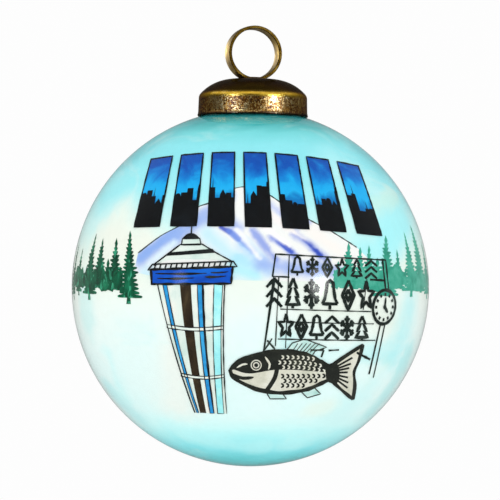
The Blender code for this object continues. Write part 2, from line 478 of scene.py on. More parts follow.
def fill(outline, place=front, spacing=1.4):
    """A sheet over a closed outline: directions from the ball's centre, and triangles."""
    count = len(outline)
    lows = [min(p[k] for p in outline) for k in (0, 1)]
    highs = [max(p[k] for p in outline) for k in (0, 1)]
    points = list(outline)
    for i in range(1, int((highs[0] - lows[0]) / spacing) + 1):
        for j in range(1, int((highs[1] - lows[1]) / spacing) + 1):
            point = (lows[0] + (i - 0.5 * (j % 2)) * spacing, lows[1] + j * spacing * ROW_HEIGHT)
            if inside(point, outline) and min(math.dist(point, p) for p in outline) > EDGE_GAP * spacing:
                points.append(point)
    flat = [Vector(p) for p in points]
    edges = [(i, (i + 1) % count) for i in range(count)]
    made = delaunay_2d_cdt(flat, edges, [list(range(count))], 1, 1e-6)
    return [place(*p) for p in made[0]], [list(f) for f in made[2]]


def stroke(points, width, place=front, taper=(1.0, 1.0), closed=False, wobble=0.0):
    """A brush line along points. Taper gives the shares of the full width that its two ends have."""
    count = len(points)
    lefts, rights = [], []
    for i, point in enumerate(points):
        before = points[(i - 1) % count] if closed or i > 0 else point
        after = points[(i + 1) % count] if closed or i + 1 < count else point
        dx, dz = after[0] - before[0], after[1] - before[1]
        length = math.hypot(dx, dz) or 1.0
        t = i / max(1, count - 1)
        edge = min(1.0, 4 * t, 4 * (1 - t)) if not closed else 1.0
        end = taper[0] if t < 0.5 else taper[1]
        half = width / 2 * (end + (1 - end) * edge)
        half *= 1 + wobble * math.sin(2.3 * i + 5 * point[0] + 3 * point[1])
        lefts.append((point[0] - dz / length * half, point[1] + dx / length * half))
        rights.append((point[0] + dz / length * half, point[1] - dx / length * half))
    corners = [place(*p) for pair in zip(lefts, rights) for p in pair]
    spans = count if closed else count - 1
    faces = []
    for i in range(spans):
        j = (i + 1) % count
        faces.append([2 * i + 1, 2 * j + 1, 2 * j, 2 * i])
    return corners, faces


def line(points, width, place=front, **looks):
    return stroke(straight(points), width, place, **looks)


def curve(points, width, **looks):
    return stroke(smooth(points), width, **looks)


def film(name, sheets, layer, material):
    """One piece of paint from several sheets: closed films on the glass's inner face, layer by layer."""
    outer = PAINT_RADIUS + layer * LAYER_STEP
    centre = Vector((0, 0, CENTRE_Z))
    corners, faces = [], []
    for directions, cells in sheets:
        base, count = len(corners), len(directions)
        corners += [centre + d * outer for d in directions]
        corners += [centre + d * (outer - FILM) for d in directions]
        used = {}
        for cell in cells:
            faces.append([base + i for i in cell])
            faces.append([base + count + i for i in reversed(cell)])
            for a, b in zip(cell, cell[1:] + cell[:1]):
                used[(a, b)] = used.get((a, b), 0) + 1
        for a, b in used:
            if (b, a) not in used:
                faces.append([base + b, base + a, base + count + a, base + count + b])
    mesh = bpy.data.meshes.new(name)
    mesh.from_pydata(corners, [], faces)
    mesh.shade_smooth()
    mesh.set_sharp_from_angle(angle=math.radians(40))
    return add_piece(name, mesh, material, "bauble")


# ---------------------------------------------------------------- glass and base coat

BALL_SEGMENTS = 160
BALL_STEPS = 90
COAT_OPENING = 7.8 * MM
COAT_THICKNESS = 0.4 * MM
NECK_RADIUS = 9.2 * MM
NECK_FILLET = 1.0 * MM
SKY_TONES = [
    # height from 0 at the lowest point to 1 at the highest, and colour
    (0.000, "1c969a"), (0.022, "2cb0b4"), (0.045, "58d2d8"), (0.075, "86eaf2"), (0.110, "b2f8fb"),
    (0.136, "cefdfd"), (0.170, "defdfc"), (0.330, "e6fcfa"), (0.440, "eefbf6"), (0.500, "eef8f0"),
    (0.580, "eaf7ec"), (0.660, "cef5f2"), (0.740, "a9eff3"), (0.820, "8fe6ee"), (0.880, "8ce5ec"),
    (0.920, "74d9dc"), (0.942, "46b8b9"), (0.965, "1f8f90"), (1.000, "1a8283"),
]
SKY_WASHES_AND_CAP_SHADE = [
    # start, end, width, colour and strength of each patch of sky, cloud or snow, or of painted shade
    ((-28, 14), (-24, 6), 9, "eef6ea", 0.85), ((-33, 9), (-22, 8), 7, "f0f4e8", 0.7),
    ((-31, 20), (-21, 25), 6, "98ecf2", 0.6), ((-36, 1), (-34.5, -8), 5, "b0f0f0", 0.4),
    ((20, 25), (30, 14), 10, "b4f2f5", 0.8), ((24, 8), (33, 14), 9, "a6f3f8", 0.9),
    ((26, 18), (31, 21), 3, "d0f2e4", 0.6), ((2, 24), (8, 14), 8, "a8eef6", 0.5),
    ((-12, 24), (-3, 22), 7, "aaf0f8", 0.5), ((-14, -8), (-16, -24), 8, "f1f5ee", 0.75),
    ((-24, -10), (-22, -20), 9, "e6fbf9", 0.7), ((16, -2), (30, -6), 9, "e8f2e6", 0.8),
    ((8, -12), (30, -13), 6, "bff4f5", 0.8), ((18, -26), (26, -20), 7, "cdf8f8", 0.7),
    ((14, -25), (17, -24), 3.5, "e8f8ee", 0.7), ((26, -18), (29, -16), 3.5, "dcf4e8", 0.6),
    ((34, -4), (31, -13), 9, "a4f0f6", 0.6), ((27, -26), (34, -14), 5, "a8ecee", 0.6),
    ((-30, -22), (-24, -28), 5, "a8eef2", 0.5), ((0, -8), (2, -24), 7, "e6fdfd", 0.7),
    ((-30, -14), (-27, -23), 4, "c8fbfb", 0.6), ((-16, -30), (10, -33), 4, "c6fdfe", 0.5),
    # Painted shade: darker turquoise either side of the cap, where its shadow falls on the ball
    ((-26, 28), (-11, 36.5), 6, "4cb6be", 0.4), ((27, 27), (11, 36.5), 6, "4cb2ba", 0.4),
]


def wall(radius, opening, steps):
    """Points (r, z) up a ball's wall, from its lowest point to an opening of that radius."""
    top_deg = math.degrees(math.acos(opening / radius))
    points = arc((0.0, CENTRE_Z), radius, -90.0, top_deg, steps)
    points[0] = (0.0, CENTRE_Z - radius)
    return points


def build_glass():
    """The ball, its neck and the neck's fire-polished lip."""
    neck_inner = NECK_RADIUS - GLASS_WALL
    outside = wall(BALL_RADIUS, NECK_RADIUS + NECK_FILLET, BALL_STEPS)
    root = outside[-1][1]
    fillet = arc((NECK_RADIUS + NECK_FILLET, root + NECK_FILLET), NECK_FILLET, 255.0, 180.0, 5)
    lip_radius = GLASS_WALL / 2
    lip = arc((NECK_RADIUS - lip_radius, GLASS_HIGH.z - lip_radius), lip_radius, 0.0, 180.0, 8)
    inner = wall(INNER_RADIUS, neck_inner + 0.3 * NECK_FILLET, BALL_STEPS)
    inner_neck = (neck_inner, inner[-1][1] + 0.6 * NECK_FILLET)
    profile = [*outside, *fillet, *lip, inner_neck, *reversed(inner)]
    mesh = turned("glass_shell", profile, BALL_SEGMENTS, closed=False)
    add_piece("glass_shell", mesh, clear_glass(), "bauble", "glass_ball")


def base_coat():
    """Turquoise sky under the cap, painted shade beside it, white cloud at the horizon, snow, and turquoise
    again at the bottom.
    """
    coat = Paint("sky_and_snow_paint")
    height = coat.between(coat.axis("Z"), CENTRE_Z - BALL_RADIUS, CENTRE_Z + BALL_RADIUS, smooth=False)
    drift = coat.noise(38, detail=3, stretch=(1, 1, 1.6), warp=0.6)
    height = coat.maths("ADD", height, coat.between(drift, 0.2, 0.8, -0.012, 0.012))
    colour = coat.ramp(height, SKY_TONES)
    wobble = coat.spots(70, 3, 0.3, 0.7, -0.0018, 0.0018, warp=0.5)
    for start, end, width, code, strength in SKY_WASHES_AND_CAP_SHADE:
        colour = coat.lay(colour, coat.streak(start, end, width, wobble), strength, code)
    cloud = coat.spots(55, 5, 0.52, 0.72, stretch=(1, 1, 2.2), warp=1.0)
    colour = coat.lay(colour, cloud, 0.22, "f2f8f0")
    tint = coat.spots(47, 4, 0.55, 0.75, stretch=(1.2, 1.2, 2.0), warp=0.7)
    colour = coat.lay(colour, tint, 0.22, "b4f5fa")
    fibre = coat.spots(700, 3, 0.3, 0.7, 0.975, 1.0, rough=0.7)
    colour = coat.mix(1.0, colour, fibre, "MULTIPLY")
    return finish_paint(coat, colour)


def build_lining():
    """The base coat behind the picture, which covers the whole inside of the ball."""
    outer = wall(PAINT_RADIUS, COAT_OPENING, BALL_STEPS)
    inner = wall(PAINT_RADIUS - COAT_THICKNESS, COAT_OPENING, BALL_STEPS)
    mesh = turned("base_coat", [*outer, *reversed(inner)], BALL_SEGMENTS, closed=False)
    add_piece("base_coat", mesh, base_coat(), "bauble", "paint_coat")


# ---------------------------------------------------------------- brass

CAP_WALL = 0.6 * MM
CAP_FLAT_RADIUS = 4.38 * MM
CAP_HOLE_RADIUS = 1.2 * MM
DOME_RADIUS = 9.94 * MM
DOME_END_DEG = 48.0
SKIRT_TOP_RADIUS = 12.18 * MM
SKIRT_RADIUS = 12.3 * MM
RIM_DROP = 0.2 * MM
RIM_FLARE = 0.12 * MM
LIP_RADIUS = 0.32 * MM
RING_TURN_DEG = 16.0
RING_OUTER_RADIUS = 6.22 * MM
RING_THICKNESS = 0.77 * MM
RING_WIDTH = 3.75 * MM
RING_EDGE = 0.16 * MM
RING_CROWN = 0.05 * MM
SEAT_DEPTH = 0.51 * MM  # of the flat under the ring
FLAT_DEPTH = 0.12 * MM  # of the flat in the ring, round the rivet's head
SHANK_RADIUS = 1.1 * MM
HEAD_RADIUS = 1.6 * MM
HEAD_DEPTH = 0.2 * MM
HEAD_SINK = 0.05 * MM
HEAD_DISH = 0.06 * MM
TAIL_RADIUS = 1.9 * MM
TAIL_HEIGHT = 0.7 * MM
RIVET_CLEARANCE = 0.15 * MM
PATINA_DROPS = (2.9 * MM, 3.95 * MM, 4.8 * MM)  # from the cap's top to its dome, shoulder and skirt


def cap_brass():
    """Antiqued brass: black-brown top, rubbed gold and painted highlight on the shoulder, speckled skirt,
    painted shade at the rim.
    """
    brass = Paint("cap_patina")
    dome_z, shoulder_z, skirt_z = [CAP_HIGH.z - drop for drop in PATINA_DROPS]
    rim_z = CAP_LOW.z
    z = brass.axis("Z")
    mottled = brass.noise(260, detail=6, rough=0.65, warp=0.5)
    speckle = brass.spots(3000, 2, 0.35, 0.65, -0.13, 0.13, rough=0.7)
    body = brass.ramp(
        brass.maths("ADD", mottled, speckle),
        [(0.30, "261102"), (0.45, "5c3206"), (0.56, "8e641a"), (0.70, "dcc688")],
    )
    streaks = brass.spots(420, 3, 0.45, 0.65, stretch=(1, 1, 0.18))
    body = brass.lay(body, streaks, 0.35, "6b4210")
    pits = brass.spots(1500, 2, 0.62, 0.70)
    body = brass.lay(body, pits, 0.8, "1c0d02")
    flecks = brass.spots(3200, 2, 0.55, 0.63, warp=0.4)
    body = brass.lay(body, flecks, 0.5, "e4c878")
    dome = brass.mix(brass.between(mottled, 0.35, 0.75), "46340a", "665010")
    colour = brass.mix(brass.between(z, shoulder_z, dome_z), body, dome)
    # Rubbed gold and a painted highlight: a lighter gold band round the shoulder, where the highlight
    # falls.
    rub_and_highlight_low = brass.between(z, skirt_z, shoulder_z)
    rub_and_highlight_high = brass.between(z, dome_z, shoulder_z)
    colour = brass.lay(colour, brass.maths("MULTIPLY", rub_and_highlight_low, rub_and_highlight_high), 0.9, "a8861e")
    # Painted shade: the skirt darkens towards its rim, where the cap meets the glass.
    rim_shade = brass.between(z, rim_z + 0.8 * MM, rim_z + 0.1 * MM)
    colour = brass.lay(colour, rim_shade, 0.85, "1a0b02")
    brass.colour(colour)
    brass.set("Metallic", 1.0)
    brass.set("Roughness", brass.between(mottled, 0.3, 0.7, 0.38, 0.22))
    brass.set("Specular Tint", "84703c")
    brass.set("Coat Weight", 0.16)
    brass.set("Coat Roughness", 0.22)
    grains = brass.noise(2600, detail=3, rough=0.7)
    dents = brass.noise(700, detail=4, rough=0.6)
    brass.bump(brass.maths("ADD", grains, dents), 0.06 * MM, 0.7)
    return brass.material


def cap_profile():
    """Outside from the rivet's hole down to the rolled rim, then back up the inside."""
    top = CAP_HIGH.z
    end = math.radians(DOME_END_DEG)
    centre = (CAP_FLAT_RADIUS, top - DOME_RADIUS)
    dome = arc(centre, DOME_RADIUS, 90.0, 90.0 - DOME_END_DEG, 24)
    shoulder_radius = (SKIRT_TOP_RADIUS - dome[-1][0]) / (1 - math.sin(end))
    drop = shoulder_radius * math.cos(end)
    shoulder_centre = (SKIRT_TOP_RADIUS - shoulder_radius, dome[-1][1] - drop)
    shoulder = arc(shoulder_centre, shoulder_radius, 90.0 - DOME_END_DEG, 0.0, 10)[1:]
    rim = CAP_LOW.z - RIM_DROP
    lip_centre = (SKIRT_RADIUS + RIM_FLARE - LIP_RADIUS, rim + LIP_RADIUS)
    lip = arc(lip_centre, LIP_RADIUS, 40.0, -170.0, 10)
    inside_dome = arc(centre, DOME_RADIUS - CAP_WALL, 90.0 - DOME_END_DEG, 90.0, 16)
    skirt = (SKIRT_RADIUS - 0.03 * MM, rim + 1.0 * MM)
    outer = [(CAP_HOLE_RADIUS, top), *dome, *shoulder, skirt, *lip]
    inner_skirt = (SKIRT_TOP_RADIUS - CAP_WALL, shoulder[-1][1])
    return [*outer, inner_skirt, *inside_dome, (CAP_HOLE_RADIUS, top - CAP_WALL)]


def build_cap():
    mesh = turned("pressed_cap", cap_profile(), 128, closed=True, sharp_deg=60)
    add_piece("pressed_cap", mesh, cap_brass(), "bauble", "cap_shell")


def ring_brass():
    """The ring's band: golden where it is rubbed, olive-brown patina elsewhere."""
    brass = Paint("ring_patina")
    mottled = brass.noise(330, detail=5, rough=0.6, warp=0.4)
    stops = [(0.30, "46300a"), (0.48, "785c1c"), (0.60, "a28438"), (0.75, "ccb66c")]
    brass.colour(brass.ramp(mottled, stops))
    brass.set("Metallic", 1.0)
    brass.set("Roughness", brass.between(mottled, 0.3, 0.7, 0.36, 0.22))
    brass.set("Specular Tint", "f0e8d4")
    return brass.material


def rivet_hole(inner_flat):
    """Cutter for the countersunk hole in the ring's flat, whose upper side is at that height."""
    head_top = inner_flat - HEAD_SINK
    head, shank = HEAD_RADIUS + RIVET_CLEARANCE, SHANK_RADIUS + RIVET_CLEARANCE
    above, below = head_top + 1.0 * MM, head_top - 2.0 * MM
    cone = [(head, head_top), (shank, head_top - HEAD_DEPTH)]
    profile = [(0.0, above), (head, above), *cone, (shank, below), (0.0, below)]
    mesh = turned("rivet_hole_cutter", profile, 48, closed=False)
    cutter = bpy.data.objects.new("rivet_hole_cutter", mesh)
    bpy.context.scene.collection.objects.link(cutter)
    cutter.hide_render = True
    cutter.display_type = "WIRE"
    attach(cutter, "hanger")
    return cutter


def build_ring():
    """The band, slightly crowned, coined flat where it sits, with a countersunk hole for the rivet."""
    outer, inner, half = RING_OUTER_RADIUS, RING_OUTER_RADIUS - RING_THICKNESS, RING_WIDTH / 2
    bevel = half - RING_EDGE
    outside = [(outer - RING_EDGE, half), (outer - RING_CROWN, bevel), (outer, 0.4 * half)]
    inside_face = [(inner + RING_EDGE, half), (inner + RING_CROWN / 2, bevel), (inner, 0.4 * half)]
    left_half = [(r, -z) for r, z in [*reversed(outside), *inside_face]]
    profile = [*outside, *left_half, *reversed(inside_face)]
    mesh = turned("band_ring", profile, 160, closed=True, sharp_deg=25)
    turn = Quaternion((0, 0, 1), math.radians(RING_TURN_DEG))
    centre = Vector((0, 0, RING_HIGH.z - outer))
    for vertex in mesh.vertices:
        x, y, z = vertex.co
        radius = math.hypot(x, y)
        share = (radius - inner) / RING_THICKNESS
        depth = FLAT_DEPTH + (SEAT_DEPTH - FLAT_DEPTH) * share
        vertex.co = turn @ Vector((x, -z, max(y, depth - radius))) + centre
    ring = add_piece("band_ring", mesh, ring_brass(), "hanger", "hanging_ring")
    cut = ring.modifiers.new("countersunk_hole", "BOOLEAN")
    cut.operation = "DIFFERENCE"
    cut.object = rivet_hole(centre.z + FLAT_DEPTH - inner)


def build_rivet():
    """A countersunk head with a shallow dish, the shank and a peened tail."""
    low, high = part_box("swivel_rivet")
    tail_round = 0.2 * TAIL_RADIUS
    profile = [
        (0.0, high.z - HEAD_DISH),
        (0.6 * HEAD_RADIUS, high.z - HEAD_DISH / 2),
        (0.93 * HEAD_RADIUS, high.z),
        (HEAD_RADIUS, high.z - 0.04 * MM),
        (SHANK_RADIUS, high.z - HEAD_DEPTH),
        (SHANK_RADIUS, low.z + TAIL_HEIGHT),
        *arc((TAIL_RADIUS - tail_round, low.z + TAIL_HEIGHT / 2), tail_round, 60.0, -60.0, 5),
        (0.5 * TAIL_RADIUS, low.z + 0.02 * TAIL_HEIGHT),
        (0.0, low.z),
    ]
    mesh = turned("countersunk_rivet", profile, 64, closed=False)
    add_piece("countersunk_rivet", mesh, ring_brass(), "hanger", "swivel_rivet")


def finish_hidden():
    """The washer and the epoxy stay as the frame has them, inside the cap."""
    finishes = {
        "backing_washer": plain_finish("washer_brass", "b89446", 0.35, 1.0),
        "adhesive_ring": plain_finish("cured_epoxy", "d9cfae", 0.5, 0.0),
    }
    for name, finish in finishes.items():
        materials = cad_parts[name].data.materials
        materials.clear()
        materials.append(finish)


# ---------------------------------------------------------------- the picture: paints


def wash(name, codes, scale=120, stretch=(1, 1, 1), fleck=None):
    """Transparent paint that pools darker and lighter: codes run from the deepest tone to the palest."""
    paint = Paint(name)
    pooling = paint.noise(scale, detail=5, rough=0.6, stretch=stretch, warp=0.5)
    stops = [(0.32 + 0.36 * i / (len(codes) - 1), code) for i, code in enumerate(codes)]
    colour = paint.ramp(pooling, stops)
    if fleck:
        dabs = paint.spots(760, 2, 0.58, 0.68, stretch=(1, 1, 0.6), warp=0.8)
        colour = paint.lay(colour, dabs, 0.8, fleck)
    return finish_paint(paint, colour)


def ink(name, code, thinned):
    """Brush ink that runs dry in places."""
    paint = Paint(name)
    thin = paint.spots(150, 3, 0.50, 0.80, 0.0, 0.5, warp=0.6)
    dry = paint.spots(2400, 2, 0.60, 0.72, 0.0, 0.3)
    return finish_paint(paint, paint.mix(paint.maths("MAXIMUM", thin, dry), code, thinned))


def finish_paint(paint, colour):
    """Paint that is bonded to glass has hardly any gloss of its own."""
    paint.colour(colour)
    paint.set("Roughness", 0.6)
    paint.set("Specular IOR Level", 0.1)
    return paint.material


# ---------------------------------------------------------------- the picture: mountain

RIDGE = [
    (-23.6, 7.4), (-18.9, 11.0), (-14.2, 13.7), (-11.3, 17.0), (-8.6, 18.1), (-6.1, 19.8), (-4.3, 20.9),
    (-1.6, 21.5), (1.3, 21.0), (3.8, 19.8), (6.9, 17.7), (8.6, 16.7), (12.6, 14.5), (15.3, 13.2),
    (18.5, 11.4), (22.1, 9.2),
]
FOOT = [(25.5, 6.0), (24.0, 2.4), (8.0, 2.0), (-6.0, 2.2), (-18.7, 2.4), (-24.4, 3.4)]

MOUNTAIN_SHADES = [
    # start, end, width, colour, strength
    ((-23, 6.5), (-16, 11.5), 3.8, "85aaec", 0.95), ((-16, 10.5), (-10, 15.0), 3.2, "93b2ee", 0.9),
    ((-11, 15), (-7, 18), 2.6, "a0b9ee", 0.85), ((-21, 5), (-16, 9.6), 1.6, "dcf0fa", 0.9),
    ((-22, 3), (-4, 2.6), 2.6, "c6ecfb", 0.9), ((-9, 11.5), (-3, 6), 3.0, "c4ecfc", 0.9),
    ((-7, 17), (-3, 13), 2.4, "a3b9ee", 0.9), ((-4, 20), (-5.5, 16), 1.6, "d9e0f6", 0.9),
    ((-3, 4.5), (1, 3.4), 3.2, "b0eef8", 0.9), ((-1.5, 9.5), (3.5, 4.5), 2.6, "b4dcfa", 0.9),
    ((-2.5, 6.8), (1.0, 5.0), 2.0, "aee6fb", 0.8), ((2, 5.5), (14, 4.0), 2.8, "9db7f0", 0.9),
    ((12, 5), (20, 3.6), 2.2, "94b0ea", 0.85), ((-3.5, 11.6), (0.5, 8), 1.0, "7f9fe8", 0.85),
    ((0.2, 12.4), (5.2, 6.4), 1.3, "8aa0e6", 0.9), ((4.2, 11), (9.4, 7.2), 1.3, "8398e4", 0.9),
    ((9.0, 11.8), (15.6, 6.6), 1.7, "8196e2", 0.9), ((3.6, 18.0), (9.5, 13.4), 1.5, "becaf2", 0.85),
    ((7, 17.6), (12, 14.4), 1.2, "a9bbee", 0.7), ((-3.0, 12.6), (1.8, 6.6), 0.9, "fbfcff", 0.8),
    ((2.2, 13.6), (7.6, 9.4), 1.0, "fdfbfb", 0.95), ((6.6, 13.6), (11.0, 10.8), 1.0, "faf6f4", 0.95),
    ((3.4, 16.4), (7.6, 12.8), 1.1, "f8f4f2", 0.9), ((12.6, 12.4), (20, 7.0), 2.2, "f6f3ee", 0.9),
    ((-6.3, 13.0), (-4.5, 12.1), 0.65, "2c4ec4", 0.9), ((-4.6, 12.3), (-2.6, 10.6), 0.7, "6f8ee2", 0.75),
    ((5.2, 10.2), (8.2, 8.2), 0.75, "3355c6", 0.9), ((10.8, 10.6), (14.6, 7.4), 0.85, "1f42b6", 0.9),
]


def mountain_paint():
    """Cream snow with periwinkle hollows, laid in soft strokes down the slopes."""
    paint = Paint("mountain_paint")
    colour = paint.mix(paint.noise(90, detail=4), "eef3f4", "f6f6f0")
    wobble = paint.spots(260, 3, 0.3, 0.7, -0.0003, 0.0003, warp=0.3)
    for start, end, width, code, strength in MOUNTAIN_SHADES:
        colour = paint.lay(colour, paint.streak(start, end, width, wobble), strength, code)
    return finish_paint(paint, colour)


def paint_mountain():
    ridge = smooth(RIDGE)
    outline = ridge + straight([RIDGE[-1], *FOOT, RIDGE[0]], step=1.0)[1:-1]
    film("mountain", [fill(outline)], 1, mountain_paint())
    film("mountain_outline", [stroke(ridge, 0.24, wobble=0.3)], 2, ink("ridge_ink", "3a4546", "8fa3a4"))


# ---------------------------------------------------------------- the picture: firs

LEFT_FIRS = [
    # longitude and half width, then heights of the tip, the lowest twigs and the trunk's foot
    (-84.0, 3.0, 11.0, -1.6, -3.4), (-77.5, 2.4, 8.6, -1.4, -3.0), (-70.5, 2.4, 7.6, -0.8, -2.0),
    (-61.3, 3.5, 10.8, -1.2, -2.8), (-55.0, 3.4, 9.8, 0.3, 0.0), (-50.5, 2.6, 5.4, 0.6, 0.2),
    (-46.8, 3.6, 9.8, -0.2, -0.4), (-40.4, 3.7, 11.5, -1.7, -3.3),
]
RIGHT_FIRS = [
    (27.5, 2.2, 5.6, 1.0, 0.9), (31.1, 3.0, 9.6, 1.2, 1.1), (35.5, 2.8, 8.6, 0.8, 0.7),
    (39.0, 2.8, 9.0, 0.9, 0.8), (42.5, 3.2, 6.4, 0.6, 0.5), (47.0, 4.8, 11.2, -0.6, -1.0),
    (53.0, 2.8, 8.2, 0.8, 0.6), (61.0, 4.0, 12.1, 0.4, -1.2), (69.0, 4.8, 13.7, 0.2, -0.4),
    (77.5, 3.6, 9.8, -0.4, -1.8),
]
THICKETS = [
    # first and last longitude, then heights of the lower and the upper edge
    (-80, -43, -0.2, 3.4),
    (26, 58, 1.0, 4.6),
    (62, 82, 0.4, 4.0),
]
TIER = 0.8
TUFT = ((0.92, 1), (1.0, 0), (0.9, -1))  # reach, and side of the twig, of the points round a twig's end
UPRIGHT_LIMIT_DEG = 62.0
UPRIGHT_BLEND_DEG = 20.0
LAST_LIGHT_FIR_DEG = 165


def along_belt(lon):
    """Millimetres round the ball's equator at a longitude."""
    return PICTURE_RADIUS * math.radians(lon)


def upright(x, z):
    """A place on the belt. What stands near the front is kept upright on the front elevation."""
    lon, lat = x / PICTURE_RADIUS, z / PICTURE_RADIUS
    share = max(0.0, min(1.0, (UPRIGHT_LIMIT_DEG - abs(math.degrees(lon))) / UPRIGHT_BLEND_DEG))
    if share > 0:
        lon += share * (math.asin(math.sin(lon) / math.cos(lat)) - lon)
    return direction(lon, lat)


def fir(lon, half, tip, lowest, foot, dice):
    """A ragged fir: tufts of twigs that widen towards its foot, pointing up near the tip and down below."""
    middle = along_belt(lon)
    tiers = max(4, round((tip - lowest) / TIER))
    edges = []
    for side in (1, -1):
        edge = []
        for tier in range(1, tiers + 1):
            share = tier / tiers
            z = tip + (lowest - tip) * share
            reach = side * half * (0.05 + 0.95 * share**0.95) * dice.uniform(0.7, 1.12)
            lift = 0.50 - 0.60 * share + dice.uniform(-0.15, 0.15)
            thick = 0.10 + 0.14 * share
            edge += [(middle + out * reach, z + lift + over * thick) for out, over in TUFT]
            edge.append((middle + reach * dice.uniform(0.45, 0.62), z - 0.32))
        edges.append(edge)
    trunk = 0.13 * half
    stem = [(1, lowest - 0.3), (1.3, foot), (-1.3, foot), (-1, lowest - 0.3)]
    outline = [(middle, tip + 0.8), *edges[0], *[(middle + side * trunk, z) for side, z in stem]]
    outline += reversed(edges[1])
    return fill(straight(outline, closed=True, step=0.9), upright, 1.1)


def thicket(first, last, low, high, dice):
    """The ragged undergrowth that joins a stand of firs."""
    start, end = along_belt(first), along_belt(last)
    count = round((end - start) / 0.8)
    places = [start + (end - start) * i / count for i in range(count + 1)]
    upper = [(x, high + dice.uniform(-1.0, 1.2)) for x in places]
    lower = [(x, low + dice.uniform(-0.8, 0.7)) for x in reversed(places)]
    return fill(upper + lower, upright, 1.1)


def paint_firs():
    """The two stands in front, and the forest that carries on round the back of the ball."""
    dice = random.Random(24)
    near = [fir(*tree, dice) for tree in LEFT_FIRS]
    far = [fir(*tree, dice) for tree in RIGHT_FIRS]
    near.append(thicket(*THICKETS[0], dice))
    far += [thicket(*stand, dice) for stand in THICKETS[1:]]
    lon = RIGHT_FIRS[-1][0]
    end = 360 + LEFT_FIRS[0][0]
    while lon < end - 9:
        lon += dice.uniform(5.0, 9.0)
        tree = (lon, dice.uniform(2.8, 4.6), dice.uniform(5.0, 13.0), dice.uniform(-1.5, 0.8), -2.6)
        (far if lon < LAST_LIGHT_FIR_DEG else near).append(fir(*tree, dice))
    dark = wash("near_fir_paint", ["003222", "004a31", "005e3f", "147c57"], 560, (1, 1, 0.6), "3aa880")
    pale = wash("far_fir_paint", ["2b8a74", "36a088", "46ab93", "5cb8a2"], 300)
    film("near_firs", near, 2, dark)
    film("far_firs", far, 2, pale)


# ---------------------------------------------------------------- the picture: blue panels

PANELS = 7
# Where the first panel starts, the pitch and the panels' width, at the foot and at the head
PANEL_FOOT = (-24.6, 7.8, 5.4)
PANEL_HEAD = (-21.6, 6.6, 4.7)
# The arches that the panels stand on and end at: height, sag and middle
FOOT_ARCH = (13.3, 0.0014, -6)
HEAD_ARCH = (28.9, 0.0038, -2)
PANEL_INK = 0.32
DUSK_TONES = [
    # position and colour, from the foot up
    (0.25, "0563b0"), (0.36, "0778c0"), (0.46, "1cb0ee"), (0.57, "12a8ea"), (0.68, "067cd0"),
    (0.80, "0454b4"), (0.94, "0349a8"),
]


def panel_end(row, arch, index, across):
    """A point on the foot or the head of a panel, with across from 0 to 1."""
    x = row[0] + row[1] * index + row[2] * across
    return x, arch[0] - arch[1] * (x - arch[2]) ** 2


def panel_point(index, across, up):
    """A point of a leaning panel, with across and up from 0 to 1."""
    lower, foot = panel_end(PANEL_FOOT, FOOT_ARCH, index, across)
    upper, head = panel_end(PANEL_HEAD, HEAD_ARCH, index, across)
    return lower + (upper - lower) * up, foot + (head - foot) * up


def skyline(index, dice):
    """A roofline of plain blocks, gables and domes across a panel, closed along the panel's foot."""
    points = [(0, 0), (0, 0.30)]
    across = 0.0
    while across < 0.99:
        width = min(dice.uniform(0.16, 0.30), 1 - across)
        height = dice.uniform(0.30, 0.56)
        kind = dice.choice(("block", "block", "gable", "dome", "mast"))
        end, middle = across + width, across + width / 2
        points.append((across + 0.005, height))
        if kind == "gable":
            points.append((middle, height + 0.07))
        elif kind == "dome":
            for angle in [math.pi * step / 6 for step in range(1, 6)]:
                points.append((middle - width / 2 * math.cos(angle), height + 0.05 * math.sin(angle)))
        elif kind == "mast":
            points += [(middle - 0.02, height), (middle, height + 0.13), (middle + 0.02, height)]
        points.append((end - 0.005, height))
        across = end
    points += [(1, 0.30), (1, 0)]
    outline = [panel_point(index, *point) for point in points]
    return fill(straight(outline, closed=True, step=0.9), spacing=1.2)


def panel_paint():
    """A dusk sky, from royal blue through azure to blue again."""
    paint = Paint("panel_sky_paint")
    height = paint.maths("SUBTRACT", paint.axis("Z"), CENTRE_Z)
    drift = paint.noise(230, detail=4, stretch=(1, 1, 0.6), warp=0.8)
    drift = paint.between(drift, 0.25, 0.75, -0.0016, 0.0016)
    height = paint.between(paint.maths("ADD", height, drift), 12 * MM, 30 * MM, smooth=False)
    colour = paint.ramp(height, DUSK_TONES)
    glow = paint.spots(260, 3, 0.55, 0.75, 0.0, 0.25, warp=0.6)
    return finish_paint(paint, paint.mix(glow, colour, "17aeee"))


def paint_panels():
    """An arch of seven leaning blue panels with city roofs, where the souvenir has its lettering."""
    dice = random.Random(11)
    corners = [(0, 0), (1, 0), (1, 1), (0, 1)]
    panels = [[panel_point(i, *corner) for corner in corners] for i in range(PANELS)]
    outlines = [straight(panel, closed=True, step=0.9) for panel in panels]
    black = ink("panel_ink", "0e1114", "1d2a33")
    film("panel_skies", [fill(outline, spacing=1.2) for outline in outlines], 3, panel_paint())
    film("panel_roofs", [skyline(i, dice) for i in range(PANELS)], 4, black)
    edges = [stroke(outline, PANEL_INK, closed=True, wobble=0.2) for outline in outlines]
    film("panel_outlines", edges, 5, black)


# ---------------------------------------------------------------- the picture: lookout tower

TOWER_TOP = 1.2
TOWER_FOOT = -26.0
STEM_BOW = -0.45
STEM_STEPS = 16
STEM_LEFT = (-19.3, -11.3)  # x at the top and at the foot
STEM_RIGHT = (-5.3, -4.6)
DECK_STEPS = 12
DECK_SAG = 0.5


def stem_line(top_x, foot_x):
    """Points down the tower's stem, which bows a little to the left."""
    points = []
    for step in range(STEM_STEPS + 1):
        share = step / STEM_STEPS
        x = top_x + (foot_x - top_x) * share + 4 * STEM_BOW * share * (1 - share)
        points.append((x, TOWER_TOP + (TOWER_FOOT - TOWER_TOP) * share))
    return points


def leg(top_x, foot_x, top_width, foot_width):
    """The outline of a stripe down the tower's stem."""
    right = stem_line(top_x + top_width, foot_x + foot_width)
    outline = [*stem_line(top_x, foot_x), *reversed(right)]
    return straight(outline, closed=True, step=1.6)


